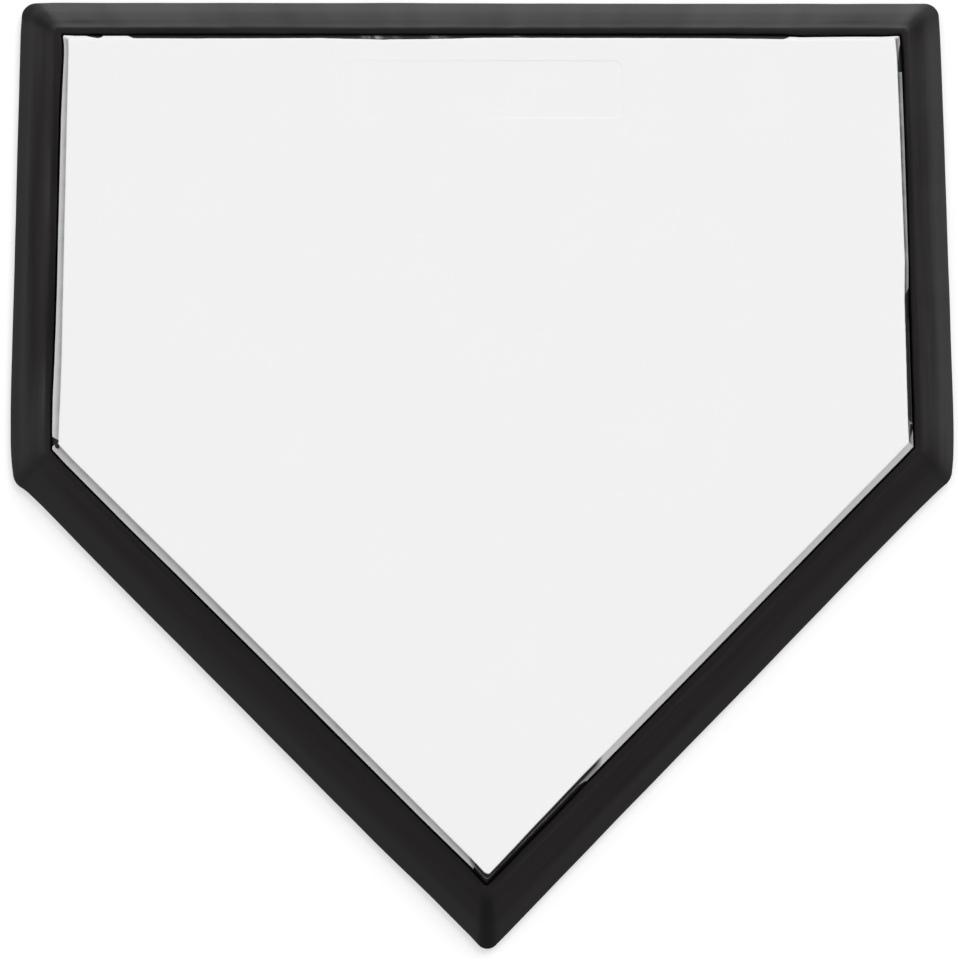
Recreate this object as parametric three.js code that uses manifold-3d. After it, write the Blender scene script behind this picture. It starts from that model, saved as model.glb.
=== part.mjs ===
// A baseball home plate. A white rubber slab, a plywood core and a waffle mat are stacked inside a black
// rubber border with a bevelled edge. Bolts from below pass through mat, core and the border's inner flange
// into threaded inserts in the slab, so one ring of bolts clamps the whole plate. Five sockets take screw-in
// ground spikes.
//
// Units are millimetres. The ground is z = 0, +Y points to the front edge and the tip points to -Y.
import * as THREE from 'three';
import { mergeGeometries, mergeVertices } from 'three/addons/utils/BufferGeometryUtils.js';
import Module from 'manifold-3d';

// Outline of the white slab where it leaves the border
const plateWidth = 431.8; // 17 in
const sideLength = 215.9; // 8.5 in, the two sides next to the front edge; the other two meet at a right angle
const innerCornerRadius = 1;

// Stack of layers, from the ground up
const matThickness = 6;
const coreThickness = 9;
const slabThickness = 10;

// Slab
const slabRise = 5.5; // height of the white face above the border's land
const slabSlope = 3.4; // how far the sides lean in over that height
const slabEdgeBreak = 0.7;
const panelWidth = 143;
const panelHeight = 30;
const panelDepth = 0.5;
const panelCornerRadius = 4;
const panelFromEdge = 12;

// Border
const borderWidth = 24;
const outerCornerRadius = 7; // both front corners and the tip
const sideCornerRadius = 12; // the two blunt corners
const landWidth = 5.5;
const lipHeight = 3.5;
const bevelBulge = 0.6; // how far the bevel stands out from a straight slope
const shoulderRadius = 3.2;
const borderEdgeBreak = 0.5;
const flangeReach = 20;
const flangeThickness = 3;

// Waffle underside of the mat
const matRim = 22; // solid rubber all round, which also takes the bolt heads
const cellsPerHalf = 6; // cells between the centre line and each side
const cellDepth = 4;
const ribWidth = 4.5;
const cellDraft = 0.5;
const bossDiameter = 30;

// Clamping bolts and their inserts
const boltDiameter = 6;
const boltHeadDiameter = 12;
const boltHeadHeight = 2.6;
const boltRecess = 0.8; // bolt heads lie this far above the ground
const boltGrip = 6; // length of bolt inside the insert
const boltInset = 11; // bolts' distance from the edge of the slab
const boltFromCorner = 55; // along each edge
const boltsPerEdge = [4, 2, 3, 3, 2]; // front edge first, then counter-clockwise
const driveAcrossFlats = 4;
const driveDepth = 1.6;
const insertWall = 2;
const insertCollarDiameter = 13;
const insertCollarHeight = 1.5;

// Spike sockets, threaded 3/8 in
const socketBore = 8.5;
const socketDiameter = 14;
const socketFlangeAcrossFlats = 24;
const socketFlangeHeight = 2.5;
const socketRecess = 0.6;

// Gaps between pieces
const seatGap = 0.2; // between flat faces that are clamped together
const fitGap = 0.3; // round a piece that sits in a hole or a pocket
const seamGap = 1; // between slab and border, seen from above

const cornerSteps = 6;
const roundSides = 12;
const bossSides = 20;
const bevelSteps = 4;
const shoulderSteps = 4;
const over = 1; // how far a cut runs past the face that it starts from
const weldDistance = 1e-4;

// Levels that follow from the stack
const matTop = matThickness;
const coreBottom = matTop + seatGap;
const coreTop = coreBottom + coreThickness;
const slabBottom = coreTop + seatGap;
const slabTop = slabBottom + slabThickness;
const landHeight = slabTop - slabRise;
const flangeBottom = coreTop - flangeThickness;

const { Manifold, Mesh: ManifoldMesh } = await loadManifold();

async function loadManifold() {
  const wasm = await Module();
  wasm.setup();
  return wasm;
}

function toSolid(geometry) {
  const bare = new THREE.BufferGeometry();
  bare.setAttribute('position', geometry.getAttribute('position'));
  bare.setIndex(geometry.getIndex());
  const merged = mergeVertices(bare, weldDistance);
  return new Manifold(new ManifoldMesh({
    numProp: 3,
    vertProperties: new Float32Array(merged.getAttribute('position').array),
    triVerts: new Uint32Array(merged.getIndex().array),
  }));
}

function toGeometry(solid) {
  const mesh = solid.getMesh();
  const geometry = new THREE.BufferGeometry();
  geometry.setAttribute('position', new THREE.BufferAttribute(mesh.vertProperties, 3));
  geometry.setIndex(new THREE.BufferAttribute(mesh.triVerts, 1));
  geometry.computeVertexNormals();
  return geometry;
}

// Outward unit normal of the edge that leaves corner i of a counter-clockwise polygon.
function edgeNormal(corners, i) {
  const from = corners.at(i);
  const to = corners[(i + 1 + corners.length) % corners.length];
  return new THREE.Vector2(to.y - from.y, from.x - to.x).normalize();
}

// Moves every edge of a convex polygon outwards by a distance and keeps the corners sharp.
function growPolygon(corners, distance) {
  return corners.map((corner, i) => {
    const before = edgeNormal(corners, i - 1);
    const after = edgeNormal(corners, i);
    const scale = distance / (1 + before.dot(after));
    return corner.clone().addScaledVector(before, scale).addScaledVector(after, scale);
  });
}

// Points on an arc, from one angle to another.
function arcPoints(centre, radius, from, to, steps) {
  return Array.from({ length: steps + 1 }, (_, k) => {
    const angle = THREE.MathUtils.lerp(from, to, k / steps);
    return new THREE.Vector2(Math.cos(angle), Math.sin(angle)).multiplyScalar(radius).add(centre);
  });
}

// Replaces each corner of a convex polygon by an arc of its own radius.
function roundCorners(corners, radii) {
  return corners.flatMap((_, i) => {
    const centre = growPolygon(corners, -radii[i])[i];
    const start = edgeNormal(corners, i - 1).angle();
    const turn = (edgeNormal(corners, i).angle() - start + 2 * Math.PI) % (2 * Math.PI);
    return arcPoints(centre, radii[i], start, start + turn, cornerSteps);
  });
}

// Skins a list of { points, z } rings that have the same number of points. An open list gets a cap at each
// end, and a closed list joins its last ring to its first, as a profile carried round a path does.
function loft(rings, closed = false) {
  const count = rings[0].points.length;
  const vertices = rings.flatMap(({ points, z }) => points.flatMap((p) => [p.x, p.y, z]));
  const indices = [];
  const spans = closed ? rings.length : rings.length - 1;
  for (let k = 0; k < spans; k++) {
    const low = k * count;
    const high = ((k + 1) % rings.length) * count;
    for (let i = 0; i < count; i++) {
      const j = (i + 1) % count;
      indices.push(low + i, low + j, high + j, low + i, high + j, high + i);
    }
  }
  if (!closed) {
    const cap = THREE.ShapeUtils.triangulateShape(rings[0].points, []);
    const last = (rings.length - 1) * count;
    for (const [a, b, c] of cap) indices.push(a, c, b, last + a, last + b, last + c);
  }
  const geometry = new THREE.BufferGeometry();
  geometry.setAttribute('position', new THREE.Float32BufferAttribute(vertices, 3));
  geometry.setIndex(indices);
  return geometry;
}

// Outline of the plate, centred so that the whole border is centred on the origin.
const halfWidth = plateWidth / 2;
const mitre = Math.SQRT2 - 1;
const frontY = (sideLength + halfWidth + mitre * (borderWidth - outerCornerRadius)) / 2;
const sideCornerY = frontY - sideLength;
const tipY = sideCornerY - halfWidth;
const plateCorners = [
  new THREE.Vector2(halfWidth, frontY),
  new THREE.Vector2(-halfWidth, frontY),
  new THREE.Vector2(-halfWidth, sideCornerY),
  new THREE.Vector2(0, tipY),
  new THREE.Vector2(halfWidth, sideCornerY),
];

const outerRadii = [
  outerCornerRadius, outerCornerRadius, sideCornerRadius, outerCornerRadius, sideCornerRadius,
];

// Ring of the outline moved outwards by an offset. Corners grow rounder from the seam to the outer edge.
function plateRing(offset, z) {
  const outward = Math.max(offset, 0) / borderWidth;
  const radii = outerRadii.map((radius) => THREE.MathUtils.lerp(innerCornerRadius, radius, outward));
  return { points: roundCorners(growPolygon(plateCorners, offset), radii), z };
}

const plateLoft = (profile, closed) => loft(profile.map(([offset, z]) => plateRing(offset, z)), closed);

function cylinder(diameter, bottom, top, x, y, sides = roundSides) {
  const geometry = new THREE.CylinderGeometry(diameter / 2, diameter / 2, top - bottom, sides);
  return geometry.rotateX(Math.PI / 2).translate(x, y, (top + bottom) / 2);
}

// Hexagonal prism, with its flats facing +X and -X.
function hexPrism(acrossFlats, bottom, top, x, y) {
  const diameter = acrossFlats / Math.cos(Math.PI / 6);
  return cylinder(diameter, bottom, top, x, y, 6);
}

// Turned piece from [radius, z] points, standing on its own axis at x, y.
function turned(profile, x, y) {
  const points = profile.map(([radius, z]) => new THREE.Vector2(radius, z));
  return new THREE.LatheGeometry(points, roundSides).rotateX(Math.PI / 2).translate(x, y, 0);
}

// Bolts stand along each edge, evenly spaced between the two that are nearest to its corners.
const boltPlaces = plateCorners.flatMap((corner, i) => {
  const next = plateCorners[(i + 1) % plateCorners.length];
  const along = next.clone().sub(corner).normalize();
  const inward = edgeNormal(plateCorners, i).multiplyScalar(-boltInset);
  const run = corner.distanceTo(next) - 2 * boltFromCorner;
  const spaces = boltsPerEdge[i] - 1;
  return Array.from({ length: spaces + 1 }, (_, k) =>
    corner.clone().addScaledVector(along, boltFromCorner + (run * k) / spaces).add(inward));
});

// The waffle grid starts at the tip of its field, so its lines cross the two slanting edges at cell corners
// and the cells along them are halved exactly. The rows beside the straight sides share out the length left.
const field = growPolygon(plateCorners, -matRim);
const fieldTip = field[3].y;
const cellSize = field[4].x / cellsPerHalf;
const straightRows = Math.round((field[0].y - field[4].y) / cellSize);
const straightRowHeight = (field[0].y - field[4].y) / straightRows;
const rowCount = cellsPerHalf + straightRows;

function gridPoint(column, row) {
  const straight = Math.max(row - cellsPerHalf, 0);
  const y = fieldTip + (row - straight) * cellSize + straight * straightRowHeight;
  return new THREE.Vector2(column * cellSize, y);
}

const socketPlaces = [
  gridPoint(cellsPerHalf - 1, rowCount - 1),
  gridPoint(1 - cellsPerHalf, rowCount - 1),
  gridPoint(1 - cellsPerHalf, cellsPerHalf),
  gridPoint(0, 2),
  gridPoint(cellsPerHalf - 1, cellsPerHalf),
];

// Corners of the cell to the right of the centre line at a column and row: a square, a half square on the
// slanting edge, or nothing beyond it.
function cellCorners(column, row) {
  const corners = [[0, 0], [1, 0], [1, 1], [0, 1]].map(([x, y]) => gridPoint(column + x, row + y));
  if (column < row) return corners;
  return column === row ? [corners[0], corners[2], corners[3]] : null;
}

function waffleCells() {
  const cells = [];
  for (let row = 0; row < rowCount; row++) {
    for (let column = 0; column < cellsPerHalf; column++) {
      const right = cellCorners(column, row);
      if (!right) continue;
      const left = right.map((p) => new THREE.Vector2(-p.x, p.y)).reverse();
      for (const corners of [right, left]) {
        const slope = cellDraft / cellDepth;
        cells.push(loft([
          { points: growPolygon(corners, slope * over - ribWidth / 2), z: -over },
          { points: growPolygon(corners, -cellDraft - ribWidth / 2), z: cellDepth },
        ]));
      }
    }
  }
  return toSolid(mergeGeometries(cells));
}

// Heights of a bolt from below: its head, the face under the head and the tip.
const boltHeadBottom = boltRecess;
const boltSeat = boltHeadBottom + boltHeadHeight;
const boltTip = slabBottom + boltGrip;
const insertBoreTop = boltTip + 2 * fitGap;
const insertTop = insertBoreTop + insertWall;
const insertBore = boltDiameter + 2 * fitGap;
const insertDiameter = insertBore + 2 * insertWall;

// Insert, and grown by a gap the cavity that the slab's rubber leaves for it.
function insertProfile(gap, bottom) {
  const body = insertDiameter / 2 + gap;
  const collar = insertCollarDiameter / 2 + gap;
  const collarBottom = insertTop - insertCollarHeight - gap;
  return [[body, bottom], [body, collarBottom], [collar, collarBottom], [collar, insertTop + gap]];
}

function makeSlab() {
  const lean = (z) => (-slabSlope * Math.max(z - landHeight, 0)) / slabRise;
  const breakStart = slabTop - slabEdgeBreak;
  let slab = toSolid(plateLoft([
    [0, slabBottom],
    [0, landHeight],
    [lean(breakStart), breakStart],
    [-slabSlope - slabEdgeBreak, slabTop],
  ]));
  const panelTop = frontY - slabSlope - panelFromEdge;
  const x = panelWidth / 2;
  const panelCorners = [
    new THREE.Vector2(-x, panelTop - panelHeight),
    new THREE.Vector2(x, panelTop - panelHeight),
    new THREE.Vector2(x, panelTop),
    new THREE.Vector2(-x, panelTop),
  ];
  const panel = roundCorners(panelCorners, panelCorners.map(() => panelCornerRadius));
  slab = slab.subtract(toSolid(loft([
    { points: panel, z: slabTop - panelDepth },
    { points: panel, z: slabTop + over },
  ])));
  for (const { x, y } of boltPlaces) {
    const bottom = slabBottom - over;
    const cavity = [[0, bottom], ...insertProfile(fitGap, bottom), [0, insertTop + fitGap]];
    slab = slab.subtract(toSolid(turned(cavity, x, y)));
  }
  return toGeometry(slab);
}

// Profile of the bevel from the lip up, and the shoulder that turns it into the flat land. The bevel is a
// shallow arc on the straight slope. The shoulder's arc touches it from inside, so their centres are apart by
// the difference of the radii, and it touches the land from below.
function bevelProfile() {
  const lip = new THREE.Vector2(borderWidth, lipHeight);
  const land = new THREE.Vector2(landWidth, landHeight);
  const bevelRadius = (lip.distanceToSquared(land) / 4 + bevelBulge ** 2) / (2 * bevelBulge);
  const inward = new THREE.Vector2(lip.y - land.y, land.x - lip.x).normalize();
  const bevelCentre = lip.clone().lerp(land, 0.5).addScaledVector(inward, bevelRadius - bevelBulge);
  const shoulderZ = landHeight - shoulderRadius;
  const apart = bevelRadius - shoulderRadius;
  const shoulderX = bevelCentre.x + Math.sqrt(apart ** 2 - (shoulderZ - bevelCentre.y) ** 2);
  const shoulderCentre = new THREE.Vector2(shoulderX, shoulderZ);
  const lipAngle = lip.clone().sub(bevelCentre).angle();
  const shoulderAngle = shoulderCentre.clone().sub(bevelCentre).angle();
  return [
    ...arcPoints(bevelCentre, bevelRadius, lipAngle, shoulderAngle, bevelSteps),
    ...arcPoints(shoulderCentre, shoulderRadius, shoulderAngle, Math.PI / 2, shoulderSteps).slice(1),
  ].map((point) => point.toArray());
}

function makeBorder() {
  let border = toSolid(plateLoft([
    [seamGap, 0],
    [borderWidth, 0],
    ...bevelProfile(),
    [seamGap + borderEdgeBreak, landHeight],
    [seamGap, landHeight - borderEdgeBreak],
    [seamGap, coreTop],
    [-flangeReach, coreTop],
    [-flangeReach, flangeBottom],
    [seamGap, flangeBottom],
  ], true));
  for (const { x, y } of boltPlaces) {
    const hole = cylinder(boltDiameter + 2 * fitGap, flangeBottom - over, coreTop + over, x, y);
    border = border.subtract(toSolid(hole));
  }
  return toGeometry(border);
}

function makeCore() {
  const rebate = flangeBottom - seatGap;
  let core = toSolid(plateLoft([
    [0, coreBottom],
    [0, rebate],
    [-flangeReach - fitGap, rebate],
    [-flangeReach - fitGap, coreTop],
  ]));
  for (const { x, y } of boltPlaces) {
    const hole = cylinder(boltDiameter + 2 * fitGap, coreBottom - over, coreTop + over, x, y);
    core = core.subtract(toSolid(hole));
  }
  for (const { x, y } of socketPlaces) {
    const hole = cylinder(socketDiameter + 2 * fitGap, coreBottom - over, coreTop + over, x, y);
    const pocket = hexPrism(socketFlangeAcrossFlats + 2 * fitGap, coreTop - socketFlangeHeight - seatGap,
      coreTop + over, x, y);
    core = core.subtract(toSolid(hole)).subtract(toSolid(pocket));
  }
  return toGeometry(core);
}

function makeMat() {
  let cells = waffleCells();
  for (const { x, y } of socketPlaces) {
    cells = cells.subtract(toSolid(cylinder(bossDiameter, -2 * over, matTop, x, y, bossSides)));
  }
  let mat = toSolid(plateLoft([[0, 0], [0, matTop]])).subtract(cells);
  for (const { x, y } of socketPlaces) {
    mat = mat.subtract(toSolid(cylinder(socketDiameter + 2 * fitGap, -over, matTop + over, x, y)));
  }
  for (const { x, y } of boltPlaces) {
    const recess = cylinder(boltHeadDiameter + 2 * fitGap, -over, boltSeat + seatGap, x, y);
    const hole = cylinder(boltDiameter + 2 * fitGap, 0, matTop + over, x, y);
    mat = mat.subtract(toSolid(recess)).subtract(toSolid(hole));
  }
  return toGeometry(mat);
}

function makeBolt(x, y) {
  const head = boltHeadDiameter / 2;
  const shank = boltDiameter / 2;
  const chamfer = boltDiameter / 8;
  const bolt = toSolid(turned([
    [0, boltHeadBottom],
    [head - chamfer, boltHeadBottom],
    [head, boltHeadBottom + chamfer],
    [head, boltSeat],
    [shank, boltSeat],
    [shank, boltTip - chamfer],
    [shank - chamfer, boltTip],
    [0, boltTip],
  ], x, y));
  const drive = hexPrism(driveAcrossFlats, boltHeadBottom - over, boltHeadBottom + driveDepth, x, y);
  return toGeometry(bolt.subtract(toSolid(drive)));
}

function makeInsert(x, y) {
  const bore = insertBore / 2;
  return turned([
    [0, insertBoreTop],
    [bore, insertBoreTop],
    [bore, slabBottom],
    ...insertProfile(0, slabBottom),
    [0, insertTop],
  ], x, y);
}

function makeSocket(x, y) {
  const flangeUnderside = coreTop - socketFlangeHeight;
  const flange = toSolid(hexPrism(socketFlangeAcrossFlats, flangeUnderside, coreTop, x, y));
  const barrel = toSolid(cylinder(socketDiameter, socketRecess, flangeUnderside + over, x, y));
  const bore = toSolid(cylinder(socketBore, socketRecess - over, flangeUnderside, x, y));
  return toGeometry(flange.add(barrel).subtract(bore));
}

const whiteRubber = new THREE.MeshStandardMaterial({ color: 0xefeff0, roughness: 0.6, metalness: 0 });
const blackRubber = new THREE.MeshStandardMaterial({ color: 0x2b292a, roughness: 0.55, metalness: 0 });
const plywood = new THREE.MeshStandardMaterial({ color: 0xc7a06a, roughness: 0.8, metalness: 0 });
const steel = new THREE.MeshStandardMaterial({ color: 0xb4b8bc, roughness: 0.35, metalness: 1 });
const brass = new THREE.MeshStandardMaterial({ color: 0xc7a24f, roughness: 0.4, metalness: 1 });

const homePlate = new THREE.Group();

function addPiece(name, geometry, material) {
  const mesh = new THREE.Mesh(geometry, material);
  mesh.name = name;
  homePlate.add(mesh);
}

addPiece('top_plate', makeSlab(), whiteRubber);
addPiece('bevel_border', makeBorder(), blackRubber);
addPiece('core_board', makeCore(), plywood);
addPiece('waffle_mat', makeMat(), blackRubber);
boltPlaces.forEach(({ x, y }, i) => {
  const number = String(i + 1).padStart(2, '0');
  addPiece(`clamp_bolt_${number}`, makeBolt(x, y), steel);
  addPiece(`slab_insert_${number}`, makeInsert(x, y), brass);
});
socketPlaces.forEach(({ x, y }, i) => addPiece(`spike_socket_${i + 1}`, makeSocket(x, y), steel));

export default homePlate;
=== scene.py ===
# %% [markdown]
# # A home plate
#
# The real object is the five-sided plate of a ball field: a white rubber slab that stands a few
# millimetres proud of a black rubber border, whose outer edge slopes down to the ground. The
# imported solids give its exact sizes. This lesson dresses them: it replaces the two big rubber
# mouldings by fine surfaces, adds the ragged rubber that squeezed out of the seam, and gives
# every other piece a finish of its own. Lengths in the cells are millimetres, and the meshes
# are metres, as the frame is.

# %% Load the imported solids
import math

import bmesh
import bpy
import numpy as np
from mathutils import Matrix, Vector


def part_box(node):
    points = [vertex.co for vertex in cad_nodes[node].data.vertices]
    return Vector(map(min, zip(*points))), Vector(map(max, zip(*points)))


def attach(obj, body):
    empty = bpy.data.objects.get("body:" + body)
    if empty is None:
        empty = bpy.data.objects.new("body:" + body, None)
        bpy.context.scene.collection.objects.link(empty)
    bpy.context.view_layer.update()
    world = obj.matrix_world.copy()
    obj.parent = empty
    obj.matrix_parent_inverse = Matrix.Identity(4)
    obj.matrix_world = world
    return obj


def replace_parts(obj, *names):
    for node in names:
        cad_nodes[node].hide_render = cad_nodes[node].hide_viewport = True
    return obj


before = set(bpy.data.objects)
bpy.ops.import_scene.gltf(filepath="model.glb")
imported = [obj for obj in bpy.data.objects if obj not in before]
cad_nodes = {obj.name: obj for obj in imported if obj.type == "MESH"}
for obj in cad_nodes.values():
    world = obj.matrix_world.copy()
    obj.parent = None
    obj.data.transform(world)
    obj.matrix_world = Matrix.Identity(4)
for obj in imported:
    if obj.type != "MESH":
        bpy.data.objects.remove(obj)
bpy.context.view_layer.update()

MM = 0.001

# %% [markdown]
# ## The camera
#
# The photograph looks down on the plate from about 1.3 m, a little from behind the tip. A lens
# and a place can be guessed and nudged by eye, but here the outline is known: the rules of the
# game fix the white pentagon. Fitting its corners in the picture gave the focal length in
# pixels, the three turns and the place below.

# %% Camera
photo_size = (958, 960)
focal_pixels = 2607.9
camera_place = (-21.83, -232.96, 1307.08)
camera_turns = (9.702, -0.808, -0.268)
scene = bpy.context.scene


def add_object(name, data):
    """A new object in the scene."""
    made = bpy.data.objects.new(name, data)
    scene.collection.objects.link(made)
    return made


camera_data = bpy.data.cameras.new("photo_camera")
camera_data.sensor_width = 36.0
camera_data.lens = focal_pixels * camera_data.sensor_width / max(photo_size)
camera = add_object("photo_camera", camera_data)
camera.location = [value * MM for value in camera_place]
camera.rotation_euler = [math.radians(value) for value in camera_turns]
scene.camera = camera
print(f"lens {camera_data.lens:.1f} mm at {camera_place}")

# %% [markdown]
# ## One formula for the outline
#
# Slab, border and seam all follow the same pentagon, moved in or out and rounded at its
# corners. A corner that moves outwards by d slides along its mitre, the vector that keeps both
# edges parallel. An arc of radius r then has its centre at distance d - r. So a point of the
# arc is corner + (d - r) * mitre + r * unit, and the straight edges join the ends of the arcs.
# The place along the outline is counted in these arc points, or knots, which lets a whole grid
# of places and distances become points in one call.

# %% The pentagon
half_width = 215.9
side_length = 215.9
border_width = 24.0
seam_radius = 1.0
solid_tip_radius = 7.0
outer_radius = np.array([7.4, 7.6, 9.0, 5.8, 9.0])
face_rounding = np.array([0.0, 0.0, 0.0, 2.0, 0.0])
rounding_depth = 3.4
tip_overhang = (math.sqrt(2) - 1) * (border_width - solid_tip_radius)
front_y = (side_length + half_width + tip_overhang) / 2
side_y = front_y - side_length
corners = np.array([
    [half_width, front_y],
    [-half_width, front_y],
    [-half_width, side_y],
    [0.0, side_y - half_width],
    [half_width, side_y],
])
FRONT, LEFT, LEFT_SLANT, RIGHT_SLANT, RIGHT = range(5)

edges = np.roll(corners, -1, axis=0) - corners
edge_lengths = np.linalg.norm(edges, axis=1)
normals = np.column_stack([edges[:, 1], -edges[:, 0]]) / edge_lengths[:, None]
normals_before = np.roll(normals, 1, axis=0)
mitres = (normals_before + normals) / (1 + (normals_before * normals).sum(1))[:, None]

arc_knots = 16
start_angles = np.arctan2(normals_before[:, 1], normals_before[:, 0])
turns = (np.arctan2(normals[:, 1], normals[:, 0]) - start_angles) % (2 * np.pi)
angles = start_angles[:, None] + turns[:, None] * np.linspace(0, 1, arc_knots)
knot_unit = np.stack([np.cos(angles), np.sin(angles)], axis=-1).reshape(-1, 2)
knot_corner = np.repeat(corners, arc_knots, axis=0)
knot_mitre = np.repeat(mitres, arc_knots, axis=0)
knot_outer_radius = np.repeat(outer_radius, arc_knots)
knot_rounding = np.repeat(face_rounding, arc_knots)
print(f"front edge at y {front_y:.2f}, tip at y {corners[3, 1]:.2f}, {len(knot_unit)} knots")


# %% Points on the outline
def ramp(value, start, length):
    """0 up to the start, then (value - start) / length, and 1 from start + length on."""
    return np.clip((value - start) / length, 0, 1)


def knot_point(knot, outward):
    """corner + (outward - r) * mitre + r * unit; r grows outwards, and inwards at the tip."""
    share = np.clip(outward, 0, None) / border_width
    radius = seam_radius + (knot_outer_radius[knot] - seam_radius) * share
    radius = (radius + knot_rounding[knot] * ramp(-outward, 0, rounding_depth))[..., None]
    away = outward[..., None] - radius
    return knot_corner[knot] + away * knot_mitre[knot] + radius * knot_unit[knot]


def outline_point(place, outward):
    """The point at a place, counted in knots, mixed from the knots on both sides of it."""
    place, outward = np.broadcast_arrays(np.asarray(place, float), np.asarray(outward, float))
    low = np.floor(place).astype(int)
    part = (place - low)[..., None]
    before, after = (knot_point(knot % len(knot_unit), outward) for knot in (low, low + 1))
    return (1 - part) * before + part * after


def edge_place(edge, along):
    """The place at a distance along an edge, measured from the corner where it starts."""
    return edge * arc_knots + arc_knots - 1 + np.asarray(along, float) / edge_lengths[edge]


place_spacing = 2.0


def corner_and_edge(edge):
    """Places at every knot of an edge's first corner, then at even steps along the edge."""
    knots = edge * arc_knots + np.arange(arc_knots)
    steps = int(edge_lengths[edge] / place_spacing)
    return np.concatenate([knots, knots[-1] + np.arange(1, steps) / steps])


places = np.concatenate([corner_and_edge(edge) for edge in range(5)])
seam_line = outline_point(places, 0.0)
seam_steps = np.linalg.norm(np.roll(seam_line, -1, axis=0) - seam_line, axis=1)
seam_length = seam_steps.sum()
along_seam = np.concatenate([[0.0], np.cumsum(seam_steps)[:-1]])
print(f"{len(places)} places on a seam of {seam_length:.0f} mm")


# %% Values along the outline
held_part = np.array([0.02, 0.98])


def per_edge(front, left, left_slant, right_slant, right):
    """A value for each edge, held along it and mixed to the next one over the corner."""
    ends = [edge_place(edge, edge_lengths[edge] * held_part) for edge in range(5)]
    values = np.repeat([front, left, left_slant, right_slant, right], 2)
    return np.interp(places, np.concatenate(ends), values, period=len(knot_unit))


def from_corner(corner):
    """Distance of every place from the middle of a corner along the seam, negative before it."""
    ahead = along_seam - np.interp((corner + 0.5) * arc_knots - 0.5, places, along_seam)
    return (ahead + seam_length / 2) % seam_length - seam_length / 2


print(f"the tip is {np.ptp(from_corner(RIGHT_SLANT)) / 2:.0f} mm from the place opposite it")

# %% [markdown]
# The slab was trimmed by hand, and the border was fitted to it. So neither the seam, nor the
# slab's upper edge, nor the border's foot is quite straight: they wander by a millimetre or so.
# A few places along each edge are given, each with its distance along the edge and the moves
# there, of seam and upper edge or of the foot, and the rest is mixed. The two ends of a corner's
# arc move nearly alike, because a ring that is skewed within a small arc would fold over.

# %% Wander of the seam and of the border's foot
seam_moves = {
    FRONT: [(8, -0.4, 0), (25, -0.4, -0.3), (50, -0.7, -0.5), (60, -0.2, -0.35), (85, 0, 0.1),
            (140, 0, 0.3), (216, 0, 0.4), (245, 0, -0.4), (270, 0, -0.6), (300, 0, 0.2),
            (345, 0, 0), (400, 0, 0), (426, 0, 0)],
    LEFT: [(3, -0.9, -0.6), (9, -1.0, -0.6), (20, -0.7, -0.6), (43, -0.2, -0.6), (108, -0.1, -0.6),
           (130, -0.15, -0.65), (150, 0, -0.65), (173, 0.3, -0.7), (190, 0.7, -0.5), (205, 0.65, -0.2)],
    LEFT_SLANT: [(10, 0.95, 0.5), (55, 1.05, 0.3), (92, 0.7, 0.1), (150, 0.4, 0.2), (260, 0.25, 0.4),
                 (298, -0.3, 0.4)],
    RIGHT_SLANT: [(15, 0.2, 1.2), (30, 0.2, 0.8), (45, 0.3, 0.6), (65, 0.2, 0.3), (82, 0.2, 0.35),
                  (150, 0.3, 0.5), (270, 0.1, 0.5), (295, 0.2, 0.5)],
    RIGHT: [(10, 0, 0.2), (75, 0, 0.5), (95, 0.7, 1.3), (165, 0.7, 1.0), (206, 0.5, 0.7)],
}
seam_corner_moves = [
    ((0, 0.2), (0, 0.2)),
    ((0.32, -0.3), (-0.35, -0.3)),
    ((0.3, 0), (0.6, 0.15)),
    ((0.2, 0.6), (0.2, 1.4)),
    ((0.1, 0.35), (0.1, 0.35)),
]
foot_moves = {
    FRONT: [(8, -0.35), (26, -0.3), (44, -0.45), (80, -0.35), (117, -0.4), (153, -0.3), (189, -0.2),
            (243, -0.05), (270, -0.15), (315, -0.05), (424, 0)],
    LEFT: [(9, 0.15), (37, 0.05), (65, 0.2), (84, 0.2), (100, 0), (132, 0.2), (169, 0.3), (198, 0.1)],
    LEFT_SLANT: [(6, -0.05), (16, -0.1), (42, 0.2), (68, 0.45), (94, 0.25), (159, 0.35), (211, 0.55),
                 (237, 0.45), (263, 0), (276, -0.1), (300, 0)],
    RIGHT_SLANT: [(6, 0.35), (55, 0.3), (81, 0.2), (120, 0.2), (146, 0.05), (172, 0.2), (224, -0.1),
                  (300, 0)],
    RIGHT: [(9, 0), (60, 0), (84, 0.15), (113, 0), (150, 0.25), (179, 0.2), (207, -0.05)],
}
foot_corner_moves = [((move,), (move,)) for move in (-0.3, -0.25, 0.42, 0.25, 0.27)]


def moves_along(edge_moves, corner_moves):
    """Places, and the moves there: at each given distance and at both ends of each corner's arc."""
    rows = [(edge_place(edge, along), *move)
            for edge, moves in edge_moves.items() for along, *move in moves]
    for corner, moves in enumerate(corner_moves):
        rows += [(corner * arc_knots + knot, *move) for knot, move in zip((0, arc_knots - 1), moves)]
    return np.array(rows).T


def mixed_at(line, given_places, moves):
    """The moves mixed linearly between the given places, all round the outline."""
    return np.interp(line, given_places, moves, period=len(knot_unit))


seam_given = moves_along(seam_moves, seam_corner_moves)
foot_given = moves_along(foot_moves, foot_corner_moves)


def side_wander(line, climb):
    """(1 - climb) * lower + climb * upper; climb is 0 at the seam and 1 at the slab's upper edge."""
    where, lower, upper = seam_given
    return (1 - climb) * mixed_at(line, where, lower) + climb * mixed_at(line, where, upper)


print(f"{seam_given.shape[1]} places where the seam moves, {foot_given.shape[1]} for the foot")

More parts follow.
